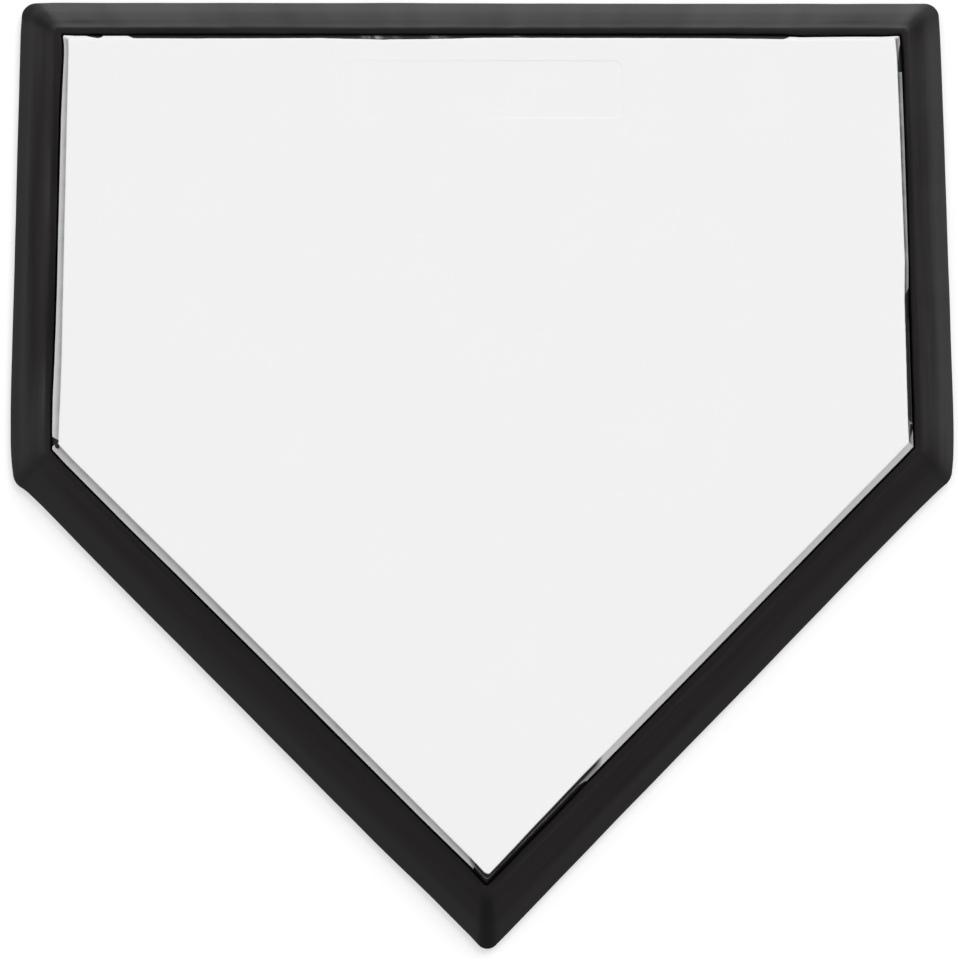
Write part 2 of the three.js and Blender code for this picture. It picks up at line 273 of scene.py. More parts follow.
# %% [markdown]
# ## Helpers that every rubber moulding uses
#
# Real edges are never sharp, so each profile is drawn as a polygon and its corners are
# rounded by arcs. Moulded rubber is never quite straight either: a ripple, a sum of a few
# sine waves that close on themselves round the plate, moves edges by tenths of a millimetre.
# The seeds are fixed, so every run gives the same plate.

# %% Rounded profiles
def unit(vectors):
    """v / |v| for each row."""
    return vectors / np.linalg.norm(vectors, axis=1, keepdims=True)


def rounded(polygon, radii, steps=6):
    """Each corner becomes an arc: centre = corner + bisector * r / sin(half angle)."""
    polygon, radii = np.asarray(polygon, float), np.asarray(radii, float)[:, None]
    back = unit(np.roll(polygon, 1, axis=0) - polygon)
    ahead = unit(np.roll(polygon, -1, axis=0) - polygon)
    half = np.arccos(np.clip((back * ahead).sum(1, keepdims=True), -1, 1)) / 2
    centre = polygon + unit(back + ahead) * radii / np.sin(half)
    start = polygon + back * radii / np.tan(half) - centre
    end = polygon + ahead * radii / np.tan(half) - centre
    sweep = np.pi - 2 * half
    t = np.linspace(0, 1, steps)[None, :]
    weight_start = np.sin((1 - t) * sweep) / np.sin(sweep)
    weight_end = np.sin(t * sweep) / np.sin(sweep)
    arcs = weight_start[..., None] * start[:, None] + weight_end[..., None] * end[:, None]
    return (centre[:, None] + arcs).reshape(-1, 2)


def dense(profile, longest):
    """Adds points to the long sides of a closed profile, so that none is longer than this."""
    after = np.roll(profile, -1, axis=0)
    pieces = np.ceil(np.linalg.norm(after - profile, axis=1) / longest).astype(int)
    first = np.repeat(np.arange(len(profile)), pieces)
    part = (np.arange(len(first)) - np.repeat(np.cumsum(pieces) - pieces, pieces)) / pieces[first]
    return profile[first] + part[:, None] * (after[first] - profile[first])


triangle = [[0, 0], [9, 0], [0, 9]]
print(f"a triangle has {len(rounded(triangle, [1, 1, 1]))} points when its corners are round")


# %% Ripples and bumps
def bump_at(distance, middle, width):
    """exp(-((distance - middle) / width) ** 2), a soft bump of height 1."""
    return np.exp(-((distance - middle) / width) ** 2)


def ripple(distance, length, shortest, longest, seed, waves=9):
    """sum s sin(2 pi n x / length + p) / sum s, with whole n, so that it closes on itself."""
    rng = np.random.default_rng(seed)
    counts = np.unique(np.geomspace(length / longest, length / shortest, waves).round())
    phases = rng.uniform(0, 2 * np.pi, len(counts))
    strengths = rng.uniform(0.5, 1.0, len(counts))
    turns_at = 2 * np.pi * np.asarray(distance)[..., None] * counts / length
    return (strengths * np.sin(turns_at + phases)).sum(-1) / strengths.sum()


print(f"at its width a bump has fallen to {bump_at(1.0, 0.0, 1.0):.2f}")


# %% From a grid to a closed shell
def grid_quads(rows, columns, wrap_rows):
    """Quads between neighbouring rows; the columns always close on themselves."""
    index = np.arange(rows * columns).reshape(rows, columns)
    here, above = (index, np.roll(index, -1, axis=0)) if wrap_rows else (index[:-1], index[1:])
    quads = [here, np.roll(here, -1, axis=1), np.roll(above, -1, axis=1), above]
    return np.stack(quads, axis=-1).reshape(-1, 4)


def closed_shell(grid, wrap_rows=False):
    """Points in metres, quads, fans of triangles that close the open ends, and the volume.

    The volume is the sum of a . (b x c) / 6 over all triangles, negative if they point inwards.
    """
    rows, columns = grid.shape[:2]
    points = grid.reshape(-1, 3) * MM
    quads = grid_quads(rows, columns, wrap_rows)
    fans = np.empty((0, 3), int)
    if not wrap_rows:
        pole, last = len(points), len(points) - columns
        ends = np.stack([grid[0].mean(axis=0), grid[-1].mean(axis=0)]) * MM
        points = np.concatenate([points, ends])
        ring, after = np.arange(columns), np.roll(np.arange(columns), -1)
        fans = np.concatenate([
            np.column_stack([after, ring, np.full(columns, pole)]),
            np.column_stack([last + ring, last + after, np.full(columns, pole + 1)])])
    triangles = np.concatenate([quads[:, :3], quads[:, [0, 2, 3]], fans])
    a, b, c = (points[triangles[:, k]] for k in range(3))
    volume = np.einsum("ij,ij->i", a, np.cross(b, c)).sum() / 6
    if volume < 0:
        quads, fans = quads[:, ::-1], fans[:, ::-1]
    return points, quads, fans, abs(volume)


print(f"{len(grid_quads(2, 8, False))} quads between two rings of 8 points")


# %% From a shell to a piece
def add_mesh(name, points, faces):
    """A new object in the scene, whose mesh has these points, in metres, and faces."""
    mesh = bpy.data.meshes.new(name)
    mesh.from_pydata(points.tolist(), [], faces)
    return add_object(name, mesh)


def make_piece(name, grid, wrap_rows, material, sharp_degrees=35.0):
    """A smooth piece that rides on the plate, from a grid of points in millimetres."""
    points, quads, fans, volume = closed_shell(grid, wrap_rows)
    piece = add_mesh(name, points, quads.tolist() + fans.tolist())
    mesh = piece.data
    mesh.polygons.foreach_set("use_smooth", np.ones(len(mesh.polygons), bool))
    mesh.set_sharp_from_angle(angle=math.radians(sharp_degrees))
    mesh.materials.append(material)
    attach(piece, "root")
    print(f"{name}: {2 * len(quads) + len(fans)} triangles, {volume * 1e6:.1f} cm3")
    return piece


def store(piece, name, values, kind="FLOAT", field="value", width=1):
    """Writes one number, or one vector, per point to an attribute; pole points take zero."""
    flat = np.zeros(len(piece.data.vertices) * width, np.float32)
    flat[:np.size(values)] = np.ravel(values)
    piece.data.attributes.new(name, kind, "POINT").data.foreach_set(field, flat)


print(f"{len(bpy.data.meshes)} meshes before the first piece")

# %% [markdown]
# ## Finishes
#
# Rubber looks like rubber because of small things: a fine grain that breaks the gloss, tones
# that drift over a few centimetres, and on the border long streaks from the mould. One node
# group makes the first two, fine noise for the grain and slow noise for the drift, and each
# material places it with its own sizes.

# %% Node helpers
NOISE = (0.3, 0.7)


def set_inputs(node, inputs):
    """Links an input of a node to a socket, or sets it to a plain value."""
    for key, value in inputs.items():
        if isinstance(value, bpy.types.NodeSocket):
            node.id_data.links.new(value, node.inputs[key])
        else:
            node.inputs[key].default_value = value


def add_node(tree, kind, inputs=None, **settings):
    """Adds a node, sets its properties, and then its inputs."""
    made = tree.nodes.new(kind)
    for key, value in settings.items():
        setattr(made, key, value)
    set_inputs(made, inputs or {})
    return made


def start_material(name, roughness, metallic=0.0, ior=1.5):
    """A material with its main shader, and the plain numbers set on the shader itself."""
    material = bpy.data.materials.new(name)
    material.use_nodes = True
    shader = material.node_tree.nodes["Principled BSDF"]
    set_inputs(shader, {"Roughness": roughness, "Metallic": metallic, "IOR": ior})
    return material, material.node_tree, shader


def read_attribute(tree, name, output="Fac"):
    """A number or vector that the piece stores at its points."""
    return add_node(tree, "ShaderNodeAttribute", attribute_name=name).outputs[output]


def mix_colours(factor, first, second):
    """A colour mix by a socket; first and second are colours or sockets."""
    mix = add_node(factor.id_data, "ShaderNodeMix", {"Factor": factor}, data_type="RGBA")
    ends = [k for k, s in enumerate(mix.inputs) if s.type == "RGBA"]
    for k, value in zip(ends, (first, second)):
        set_inputs(mix, {k: (*value, 1.0) if isinstance(value, tuple) else value})
    return next(s for s in mix.outputs if s.type == "RGBA")


def remap(socket, low, high, to_low=0.0, to_high=1.0):
    """Linear change of range, held at both ends."""
    limits = {"From Min": low, "From Max": high, "To Min": to_low, "To Max": to_high}
    return add_node(socket.id_data, "ShaderNodeMapRange", {"Value": socket, **limits}).outputs["Result"]


def stretched_noise(where, stretch, **inputs):
    """Noise on a vector that is first multiplied by the stretch, axis by axis."""
    placed = add_node(where.id_data, "ShaderNodeMapping", {"Vector": where, "Scale": stretch})
    inputs |= {"Vector": placed.outputs["Vector"], "Scale": 1.0}
    return add_node(where.id_data, "ShaderNodeTexNoise", inputs).outputs["Fac"]


def set_bump(shader, height, depth):
    """Turns a height into a Normal; depth is the height's size in millimetres."""
    bump = add_node(shader.id_data, "ShaderNodeBump", {"Height": height, "Distance": depth * MM})
    set_inputs(shader, {"Normal": bump.outputs["Normal"]})


print(f"noise between {NOISE[0]} and {NOISE[1]} is spread over each range")

# %% The shared grain
grain_group = bpy.data.node_groups.new("moulded_grain", "ShaderNodeTree")
new_socket = grain_group.interface.new_socket
noise_detail = {"Grain": 2.0, "Drift": 4.0}
new_socket("Place", in_out="INPUT", socket_type="NodeSocketVector")
for label in noise_detail:
    new_socket(f"{label} Scale", in_out="INPUT", socket_type="NodeSocketFloat")
    new_socket(label, in_out="OUTPUT", socket_type="NodeSocketFloat")
group_start = add_node(grain_group, "NodeGroupInput").outputs
group_end = add_node(grain_group, "NodeGroupOutput")
for label, detail in noise_detail.items():
    place, scale = group_start["Place"], group_start[f"{label} Scale"]
    noise = add_node(grain_group, "ShaderNodeTexNoise", {
        "Vector": place, "Scale": scale, "Detail": detail, "Roughness": 0.55})
    set_inputs(group_end, {label: noise.outputs["Fac"]})


def place_grain(tree, grain_scale, drift_scale):
    """Outputs of the shared group, on the piece's own Object coordinates."""
    where = add_node(tree, "ShaderNodeTexCoord").outputs["Object"]
    inputs = {"Place": where, "Grain Scale": grain_scale, "Drift Scale": drift_scale}
    return add_node(tree, "ShaderNodeGroup", inputs, node_tree=grain_group).outputs


print(f"{grain_group.name}: {[item.name for item in grain_group.interface.items_tree]}")

# %% [markdown]
# The white rubber is nearly even, so its drift is faint. Its sloping sides are another matter:
# they are greyer, most on the right, and carry painted shade in the seam, under the upper edge
# and near the tip. The piece stores how dark each point is in an attribute, and the material
# only mixes two whites and a grey by it.

# %% White rubber
white_rubber, tree, shader = start_material("white_rubber", 0.66, ior=1.2)
grain = place_grain(tree, 1400.0, 28.0)
drift = remap(grain["Drift"], *NOISE)
face = mix_colours(drift, (0.881, 0.881, 0.881), (0.888, 0.888, 0.888))
# The sides turn grey, and near black where shade is painted, by the slab's attribute.
set_inputs(shader, {
    "Base Color": mix_colours(read_attribute(tree, "grey_and_shade"), face, (0.03, 0.03, 0.031)),
    "Roughness": remap(grain["Grain"], *NOISE, 0.60, 0.72)})
set_bump(shader, grain["Grain"], 0.02)
print(f"{white_rubber.name}: {len(tree.nodes)} nodes")

# %% [markdown]
# The border's streaks run along its edge. Object coordinates can't follow a bend, so the border
# carries a vector attribute: the distance along the seam wound onto a circle, which closes
# without a jump, and the distance across the profile. Stretching the noise along the first
# makes streaks. Three more attributes say how plainly a stretch shows its drawn streaks, where
# a lighter grey paints sheen and highlights on it, and where the mitres and the left lip are
# duller and painted darker as shade.

# %% Black rubber of the border
border_rubber, tree, shader = start_material("border_rubber", 0.34, ior=1.18)
place = read_attribute(tree, "streak", "Vector")
streaks = stretched_noise(place, (9.0, 9.0, 170.0), Detail=3.0, Roughness=0.6)
pale_share = remap(streaks, 0.32, 0.68)
tone = mix_colours(pale_share, (0.0082, 0.0064, 0.0073), (0.0222, 0.0198, 0.0210))
colour = mix_colours(read_attribute(tree, "drawn"), (0.0166, 0.0146, 0.0156), tone)
# A lighter grey where the border carries painted sheen and highlights.
colour = mix_colours(read_attribute(tree, "painted_sheen"), colour, (0.060, 0.059, 0.060))
# Mitres and the left lip are painted darker, as shade, and are rougher too.
dull_and_shaded = read_attribute(tree, "mitre")
colour = mix_colours(dull_and_shaded, colour, (0.0062, 0.0060, 0.0058))
gloss = remap(streaks, *NOISE, 0.28, 0.40)
duller = add_node(tree, "ShaderNodeMath", {0: dull_and_shaded, 1: 0.2, 2: gloss}, operation="MULTIPLY_ADD")
set_inputs(shader, {"Base Color": colour, "Roughness": duller.outputs[0]})
set_bump(shader, place_grain(tree, 1600.0, 35.0)["Grain"], 0.012)
print(f"{border_rubber.name}: {len(tree.nodes)} nodes")


# %% Black rubber of mat and seam
def make_moulded_black(name, dark, light, roughness, depth):
    """The same rubber without streaks, for the mat and the seam; a scuff rubs it grey."""
    material, tree, shader = start_material(name, roughness, ior=1.25)
    grain = place_grain(tree, 1200.0, 45.0)
    clean = mix_colours(remap(grain["Drift"], *NOISE), dark, light)
    set_inputs(shader, {
        "Base Color": mix_colours(read_attribute(tree, "scuff"), clean, (0.42, 0.42, 0.42)),
        "Roughness": remap(grain["Grain"], *NOISE, roughness - 0.06, roughness + 0.08)})
    set_bump(shader, grain["Grain"], depth)
    return material


mat_rubber = make_moulded_black("mat_rubber", (0.022, 0.021, 0.022), (0.036, 0.035, 0.036), 0.55, 0.03)
# The seam rubber is much darker than the other rubbers: its colour is partly painted shade of the gap it
# lies in.
seam_rubber = make_moulded_black("seam_rubber", (0.003, 0.003, 0.003), (0.006, 0.006, 0.006), 0.4, 0.02)
print(f"{mat_rubber.name} and {seam_rubber.name}")

# %% [markdown]
# The core is plywood: its faces show long grain, and its edge shows the plies as stripes. The
# bolts and sockets are zinc-plated steel, and the inserts are brass. Only a metal that is a
# little uneven looks like metal, so the drift moves both its tone and its roughness.

# %% Plywood
plywood, tree, shader = start_material("plywood", 0.7)
place = add_node(tree, "ShaderNodeTexCoord").outputs["Object"]
fibres = stretched_noise(place, (6.0, 120.0, 700.0), Detail=5.0, Distortion=0.6)
colour = mix_colours(remap(fibres, *NOISE), (0.42, 0.26, 0.12), (0.62, 0.43, 0.23))
set_inputs(shader, {"Base Color": colour})
set_bump(shader, fibres, 0.08)
print(f"{plywood.name}: {len(tree.nodes)} nodes")


# %% Metals
def make_metal(name, dark, light, roughness):
    """Drift moves the metal's tone and its roughness, and the grain gives it a faint bump."""
    material, tree, shader = start_material(name, roughness, metallic=1.0)
    grain = place_grain(tree, 900.0, 160.0)
    set_inputs(shader, {
        "Base Color": mix_colours(remap(grain["Drift"], *NOISE), dark, light),
        "Roughness": remap(grain["Drift"], *NOISE, roughness - 0.08, roughness + 0.1)})
    set_bump(shader, grain["Grain"], 0.006)
    return material


zinc = make_metal("zinc_plate", (0.42, 0.44, 0.46), (0.60, 0.62, 0.64), 0.32)
brass = make_metal("brass", (0.50, 0.32, 0.10), (0.66, 0.46, 0.17), 0.36)

for name, node in cad_nodes.items():
    if name.startswith(("core_board", "slab_insert")):
        node.data.materials.clear()
        node.data.materials.append(plywood if name == "core_board" else brass)
print(f"finishes: {sorted(m.name for m in bpy.data.materials)}")

# %% [markdown]
# ## The border
#
# The border is one closed profile carried round the outline: a low lip at the ground, the long
# bevel, a soft shoulder, the flat land beside the slab, and a flange that the core board
# clamps. A curve with a bevel profile could carry it too, but not with corner radii that grow
# outwards. The land's inner edge wanders by a few tenths, and the outer corners are pulled a
# little out of line: the two blunt ones towards the tip, the tip to the right.

# %% Profile of the border
seam_gap = 1.0
land_height, lip_height, land_width = 19.9, 3.5, 5.1
flange_reach, flange_top, flange_bottom = 20.0, 15.2, 12.2

bevel_bulge = 0.6
bevel_ends = np.array([[border_width, lip_height], [land_width, land_height]])
bevel_chord = bevel_ends[1] - bevel_ends[0]
bevel_out = np.array([bevel_chord[1], -bevel_chord[0]]) / np.linalg.norm(bevel_chord)
bevel_crown = bevel_ends.mean(axis=0) + 2 * bevel_bulge * bevel_out

border_corners = [
    [seam_gap, 0.0],
    [border_width, 0.0],
    [border_width, lip_height],
    bevel_crown,
    [land_width, land_height],
    [seam_gap, land_height],
    [seam_gap, flange_top],
    [-flange_reach, flange_top],
    [-flange_reach, flange_bottom],
    [seam_gap, flange_bottom],
]
border_radii = [0.3, 0.6, 0.5, 30.0, 4.0, 0.9, 0.2, 0.3, 0.3, 0.2]
longest_side = 3.0
profile = dense(rounded(border_corners, border_radii), longest_side)
print(f"the border's profile has {len(profile)} points")

# %% Ripples and pulled corners of the border
reach, level = profile[:, :1], profile[:, 1:]
bevel_share = ramp(reach, land_width, 6.0)
land_edge = (1 - ramp(reach, seam_gap, 3.0)) * ramp(level, 18.0, 1.5)
crease = bump_at(reach, land_width + 1.0, 2.5) * ramp(level, 14.0, 3.0)
wave_bevel = 0.22 * ripple(along_seam, seam_length, 40.0, 400.0, seed=3)
wave_bevel += per_edge(-0.15, 0.25, 0, 0, 0.35) + mixed_at(places, *foot_given)
wave_land = 0.30 * ripple(along_seam, seam_length, 14.0, 120.0, seed=8) + side_wander(places, 0.0)
wave_crease = 0.45 * ripple(along_seam, seam_length, 18.0, 260.0, seed=14)
waves = bevel_share * wave_bevel + land_edge * wave_land + crease * wave_crease
border_xy = outline_point(places, reach + waves)

pulled_corners = {
    LEFT_SLANT: ((2.3, -3.35), 8.0, 8.0),
    RIGHT_SLANT: ((0.6, 0.0), 60.0, 60.0),
    RIGHT: ((-2.3, -3.35), 22.0, 8.0),
}
for corner, (move, before, after) in pulled_corners.items():
    ahead = from_corner(corner)
    fade = np.exp(-np.abs(ahead) / np.where(ahead < 0, before, after))
    border_xy += (ramp(reach, 0, border_width) * fade)[..., None] * np.array(move)


def with_height(points, heights):
    """Points of a grid, with heights that are spread over the grid as their third number."""
    return np.concatenate([points, np.broadcast_to(heights, points.shape[:2])[..., None]], axis=-1)


border_grid = with_height(border_xy, level)
bevel_border = make_piece("border", border_grid, True, border_rubber)
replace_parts(bevel_border, "bevel_border")

# %% [markdown]
# The border's colour carries painted light. Its front bevel has a painted grey sheen, held back
# in a darker dip that wanders near the corners, and the right bevel a little; painted highlights
# run along the shoulder. The mitres and the left lip are duller and painted darker as shade. All
# this could be painted into an image, but formulas stay sharp from close by. Each share below is
# 1 where it holds and falls to 0 over some millimetres, along the seam from a corner or outwards.

# %% Streaks of the border
wound = 2 * np.pi * along_seam / seam_length
across = np.concatenate([[0], np.cumsum(np.linalg.norm(np.diff(profile, axis=0), axis=1))])
circle = seam_length / (2 * np.pi) * MM
streak = np.stack(np.broadcast_arrays(
    circle * np.cos(wound), circle * np.sin(wound), across[:, None] * MM), axis=-1)
store(bevel_border, "streak", streak, "FLOAT_VECTOR", "vector", 3)
print(f"streaks wound on a circle of {circle / MM:.0f} mm")

# %% Painted sheen and highlights of the border
# Painted sheen: a lighter grey on the front bevel and, less, on the right, held back in a darker dip that
# wanders near the corners.
from_front, from_left, from_right = (from_corner(corner) for corner in (FRONT, LEFT, RIGHT))
on_bevel = ramp(reach, land_width - 1.0, 3.0)
on_front = ramp(from_front, 0.3, 0.6) * ramp(-from_left, -0.4, 0.8)
on_right = ramp(-from_front, 3.0, 8.0) * ramp(from_right, 2.0, 14.0)
dip_wander = bump_at(from_front, 30.0, 12.0) + bump_at(from_left, -14.0, 10.0)
sheen_dip = (0.28 + 0.35 * dip_wander) * bump_at(reach, 7.8 + 0.8 * dip_wander, 1.5)
cloud = 1 + 0.5 * ripple(along_seam, seam_length, 15.0, 300.0, seed=31)
facet = 0.95 + 0.12 * bump_at(reach, 12.5, 4.0) - sheen_dip
front_sheen = 0.66 * on_front * (1 + 0.2 * bump_at(from_front, 6.0, 8.0))
right_sheen = (0.20 + 0.06 * bump_at(reach, 16.0, 3.0)) * on_right
painted_sheen = on_bevel * cloud * facet * (front_sheen + right_sheen)

# Painted highlights along the shoulder, strongest on the front, and painted sheen near the ends of the
# left bevel and at the foot of the slants.
shoulder_highlight = bump_at(reach, land_width + 0.2, 1.0) * (level > 15.5) * cloud
left_shine = 0.12 + 0.25 * bump_at(from_left, 87.0, 20.0) + 0.45 * bump_at(from_left, 187.0, 14.0)
shine = per_edge(0.60, 0, 0, 0.05, 0.14) + left_shine * per_edge(0, 1.0, 0, 0, 0)
left_end_sheen = 0.24 * bump_at(from_corner(LEFT_SLANT), -15.0, 24.0) + 0.14 * bump_at(from_left, 12.0, 15.0)
slant_foot_sheen = ramp(reach, 10.0, 8.0) * per_edge(0, 0, 0.10, 0.03, 0)
painted_sheen += shoulder_highlight * shine + left_end_sheen * bump_at(reach, 10.5, 4.5) + slant_foot_sheen
store(bevel_border, "painted_sheen", np.clip(painted_sheen, 0, 1))

# %% Duller mitres, and painted shade on mitres and left lip
# Painted shade: the mitres darker in the corners, and the left lip darker where it faces the shaded
# floor.
mitre_width, mitre_depths = 2.5, [0.3, 0.8, 0.3, 0.8, 0.3]
mitre = sum(depth * bump_at(from_corner(corner), 0.0, mitre_width)
            for corner, depth in enumerate(mitre_depths))
lip_shade = ramp(reach, 17.0, 4.0) * per_edge(0, 0.35, 0, 0, 0)
drawn = (1 - mitre) * per_edge(0.9, 0.8, 0.35, 0.35, 0.9)
store(bevel_border, "mitre", np.clip(on_bevel * mitre + lip_shade, 0, 1))
store(bevel_border, "drawn", np.ones_like(reach) * drawn)
print(f"bloom up to {painted_sheen.max():.2f}, mitres up to {mitre.max():.2f}, streaks up to {drawn.max():.2f}")

# %% [markdown]
# ## The slab
#
# The slab's side is a profile carried round the same outline. Its flat top has a shallow bare
# panel near the front, so the rings go on inwards: each outline point shares its direction,
# seen from the panel's middle, with a point on the panel's edge. A ray at angle a leaves a
# rectangle at min(w / |cos a|, h / |sin a|), or through the corner's circle. The panel is sunk
# a little more towards the front right than on the other side.

# %% Side of the slab
slab_bottom, slab_top, slab_slope = 15.4, 25.4, 3.4
side_steps, side_radii = 7, [0.1, 0.4, 1.5, 0.8, 0.1]
far_inside = -30.0
side_corners = [
    [far_inside, slab_bottom],
    [0.0, slab_bottom],
    [0.0, land_height],
    [-slab_slope, slab_top],
    [far_inside, slab_top],
]
side_profile = rounded(side_corners, side_radii, side_steps)[side_steps:4 * side_steps]
side_profile = np.concatenate([[[-1.5, slab_bottom]], side_profile, [[-slab_slope - 2.0, slab_top]]])
climb = ramp(side_profile[:, 1:], land_height, slab_top - land_height)
slab_outline = outline_point(places, side_profile[:, :1] + side_wander(places, climb))
slab_side = with_height(slab_outline, side_profile[:, 1:])
print(f"the slab's side has {len(side_profile)} rings")

# %% Panel and white slab
panel_width, panel_height, panel_depth, panel_radius = 143.0, 30.0, 0.14, 4.0
panel_floor, panel_inset, panel_steps = slab_top - panel_depth, 12.0, 6
panel_middle = np.array([0.0, front_y - slab_slope - panel_inset - panel_height / 2])


def panel_ring(directions, grow):
    """Points of the panel's rounded rectangle, grown by a distance, along the directions."""
    w, h, r = panel_width / 2 + grow, panel_height / 2 + grow, panel_radius + grow
    d = np.abs(directions)
    reach = np.minimum(w / np.maximum(d[:, 0], 1e-9), h / np.maximum(d[:, 1], 1e-9))
    centre = np.array([w - r, h - r])
    towards = d @ centre
    to_circle = towards + np.sqrt(np.maximum(towards ** 2 - centre @ centre + r * r, 0))
    at_corner = ((d * reach[:, None]) > centre).all(axis=1)
    return panel_middle + directions * np.where(at_corner, to_circle, reach)[:, None]


panel_corners = [
    [3.0, slab_top],
    [0.6, slab_top],
    [-0.2, panel_floor],
    [-3.0, panel_floor],
    [-3.0, slab_top - 3.0],
    [3.0, slab_top - 3.0],
]
panel_profile = rounded(panel_corners, [0.1, 0.5, 0.5, 0.1, 0.1, 0.1], panel_steps)
panel_profile = panel_profile[panel_steps:3 * panel_steps]
panel_profile = np.concatenate([[[1.5, slab_top]], panel_profile, [[-1.5, panel_floor]]])
directions = unit(slab_outline[-1] - panel_middle)
deep_side = np.array([0.5, 0.866])
sunk = 0.55 + 0.45 * (directions @ deep_side)
panel_rings = np.stack([
    np.column_stack([panel_ring(directions, grow), slab_top + (z - slab_top) * sunk])
    for grow, z in panel_profile])

slab_grid = np.concatenate([slab_side, panel_rings])
white_slab = make_piece("white_slab", slab_grid, False, white_rubber)
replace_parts(white_slab, "top_plate")

# %% Grey and painted shade on the slab's sides
# Greyer sides, most on the right and towards the upper edge; near the tip the grey is painted shade
# between the two tongues.
side_grey_and_tip_shade = per_edge(0.16, 0.08, 0.04, 0, 0.80)
side_grey_and_tip_shade += 0.75 * (1 - ramp(np.abs(from_corner(RIGHT_SLANT) - 35.0), 43.0, 3.0))
# A dark line just below the upper edge: painted shade under it.
top_edge_shade = per_edge(0, 0.50, 0.55, 0.26, 0.10)
speckle = 1 + 0.22 * ripple(along_seam, seam_length, 5.0, 80.0, seed=21)
up_side = (slab_grid[..., 2] - land_height) / (slab_top - land_height)
grey_and_shade = side_grey_and_tip_shade * (0.6 + 0.5 * np.clip(up_side, 0, 1)) + top_edge_shade * bump_at(up_side, 0.93, 0.12)
# Inside the seam, below the border's land, the side is painted black as shade.
seam_shade = ramp(-up_side, 0.0, 0.06)
filled = (np.abs(from_right - 43.0) < 31.0) & (up_side < 0.5)
side_rings = np.arange(len(slab_grid))[:, None] < len(slab_side)
on_side = side_rings * (1 - ramp(up_side, 0.95, 0.05))
grey_and_shade = on_side * np.clip(np.maximum.reduce([speckle * grey_and_shade, seam_shade, filled]), 0, 1)
store(white_slab, "grey_and_shade", grey_and_shade)
print(f"{(grey_and_shade > 0.5).sum()} of {grey_and_shade.size} points are more than half covered by grime")

# %% [markdown]
# ## Rubber squeezed out of the seam
#
# In several stretches a thin tongue of black rubber came up out of the seam and lies on the
# slab's slope. Each is a small section, round outside and flat underneath, carried along the
# outline. Its lower and upper limits, counted in slope heights, wander with ripples, it thins
# out at both ends, and where it is asked to it leans along the edge as it climbs.

# %% One tongue
tongue_points, tongue_sink, tongue_wander, thinnest, crown_power = 18, 0.12, 0.06, 0.02, 0.6
slope_length = math.hypot(slab_slope, slab_top - land_height)
slope_up = np.array([-slab_slope, slab_top - land_height]) / slope_length
slope_out = np.array([slope_up[1], -slope_up[0]])


def seam_tongue(name, line, limits, thickness, seed,
                ends=(4.0, 4.0), rise=0.0, lean=(0.0, 0.0), scuffs=()):
    """Section d = middle + half * cos t, h = thickness * sin(t) ** power, along places."""
    points = outline_point(line, 0.0)
    steps = np.linalg.norm(np.diff(points, axis=0), axis=1)
    distance = np.concatenate([[0], np.cumsum(steps)])
    length = distance[-1]
    to_end = np.minimum(distance / ends[0], (length - distance) / ends[1])
    thin = np.sqrt(np.clip(to_end, thinnest, 1.0))
    wander = tongue_wander * ripple(distance, 2 * length, 5.0, 70.0, seed)
    climbing = rise * (1 - distance / length)
    low = limits[0] + climbing + (1 - thin) * 0.15 + 0.5 * wander
    high = low + (limits[1] + climbing + wander - low) * thin
    middle, half = (low + high) / 2, (high - low) / 2
    t = np.linspace(0, 2 * np.pi, tongue_points, endpoint=False)
    climb = middle[:, None] + half[:, None] * np.cos(t)
    up = climb * slope_length
    crown = thickness * thin[:, None] * np.clip(np.sin(t), 0, 1) ** crown_power
    out = crown + tongue_sink * np.minimum(np.sin(t), 0)
    outward = up * slope_up[0] + out * slope_out[0] + side_wander(line[:, None], climb)
    height = land_height + up * slope_up[1] + out * slope_out[1]
    lean_here = np.interp(distance, [0, length], lean) / side_length
    leaning = line[:, None] + lean_here[:, None] * climb
    grid = with_height(outline_point(leaning, outward), height)
    piece = make_piece(name, grid, False, seam_rubber, sharp_degrees=80.0)
    flecks = np.clip(0.7 + 1.6 * ripple(distance, 2 * length, 1.5, 12.0, seed + 1), 0, 1)
    rubbed_at = sum(strength * bump_at(points[:, 0], x, width) for x, width, strength in scuffs)
    store(piece, "scuff", (flecks * rubbed_at)[:, None] * bump_at(np.cos(t), 0.3, 0.7))


print(f"the slope is {slope_length:.1f} mm long")


# %% Where the tongues lie
def stretch_of(edge, start, end, spacing=0.8):
    """Places on one edge between two distances from its first corner."""
    return edge_place(edge, np.linspace(start, end, int((end - start) / spacing)))


def round_corner(edge, before, after, spacing=0.8):
    """Places from a distance before the first corner of an edge, through its arc, to one after it."""
    length = edge_lengths[edge - 1]
    return np.concatenate([
        stretch_of(edge - 1, length - before, length - 0.5, spacing),
        edge * arc_knots + np.arange(arc_knots),
        stretch_of(edge, 0.5, after, spacing),
    ])


front_scuffs = [(-60.5, 2.2, 0.3), (-55.0, 3.2, 0.7), (-47.5, 1.6, 0.15), (-44.0, 1.8, 0.2),
                (-23.0, 4.0, 0.4), (17.0, 3.0, 0.25)]
front_line = stretch_of(FRONT, half_width - 160.0, half_width + 183.0)
front_end = stretch_of(FRONT, half_width + 196.5, half_width + 204.5)
right_tooth = stretch_of(RIGHT, 3.0, 11.0, 0.4)
right_line, right_top = stretch_of(RIGHT, 11.5, 76.0), stretch_of(RIGHT, 66.0, 82.2, 0.4)
right_end = stretch_of(RIGHT, 197.0, 212.0, 0.4)
tip_line, tip_low = round_corner(RIGHT_SLANT, 6.0, 76.5), round_corner(RIGHT_SLANT, 7.7, 69.0)
left_end = stretch_of(LEFT, side_length - 5.8, side_length - 0.8, 0.3)
left_corner = round_corner(LEFT_SLANT, 2.0, 1.9, 0.3)
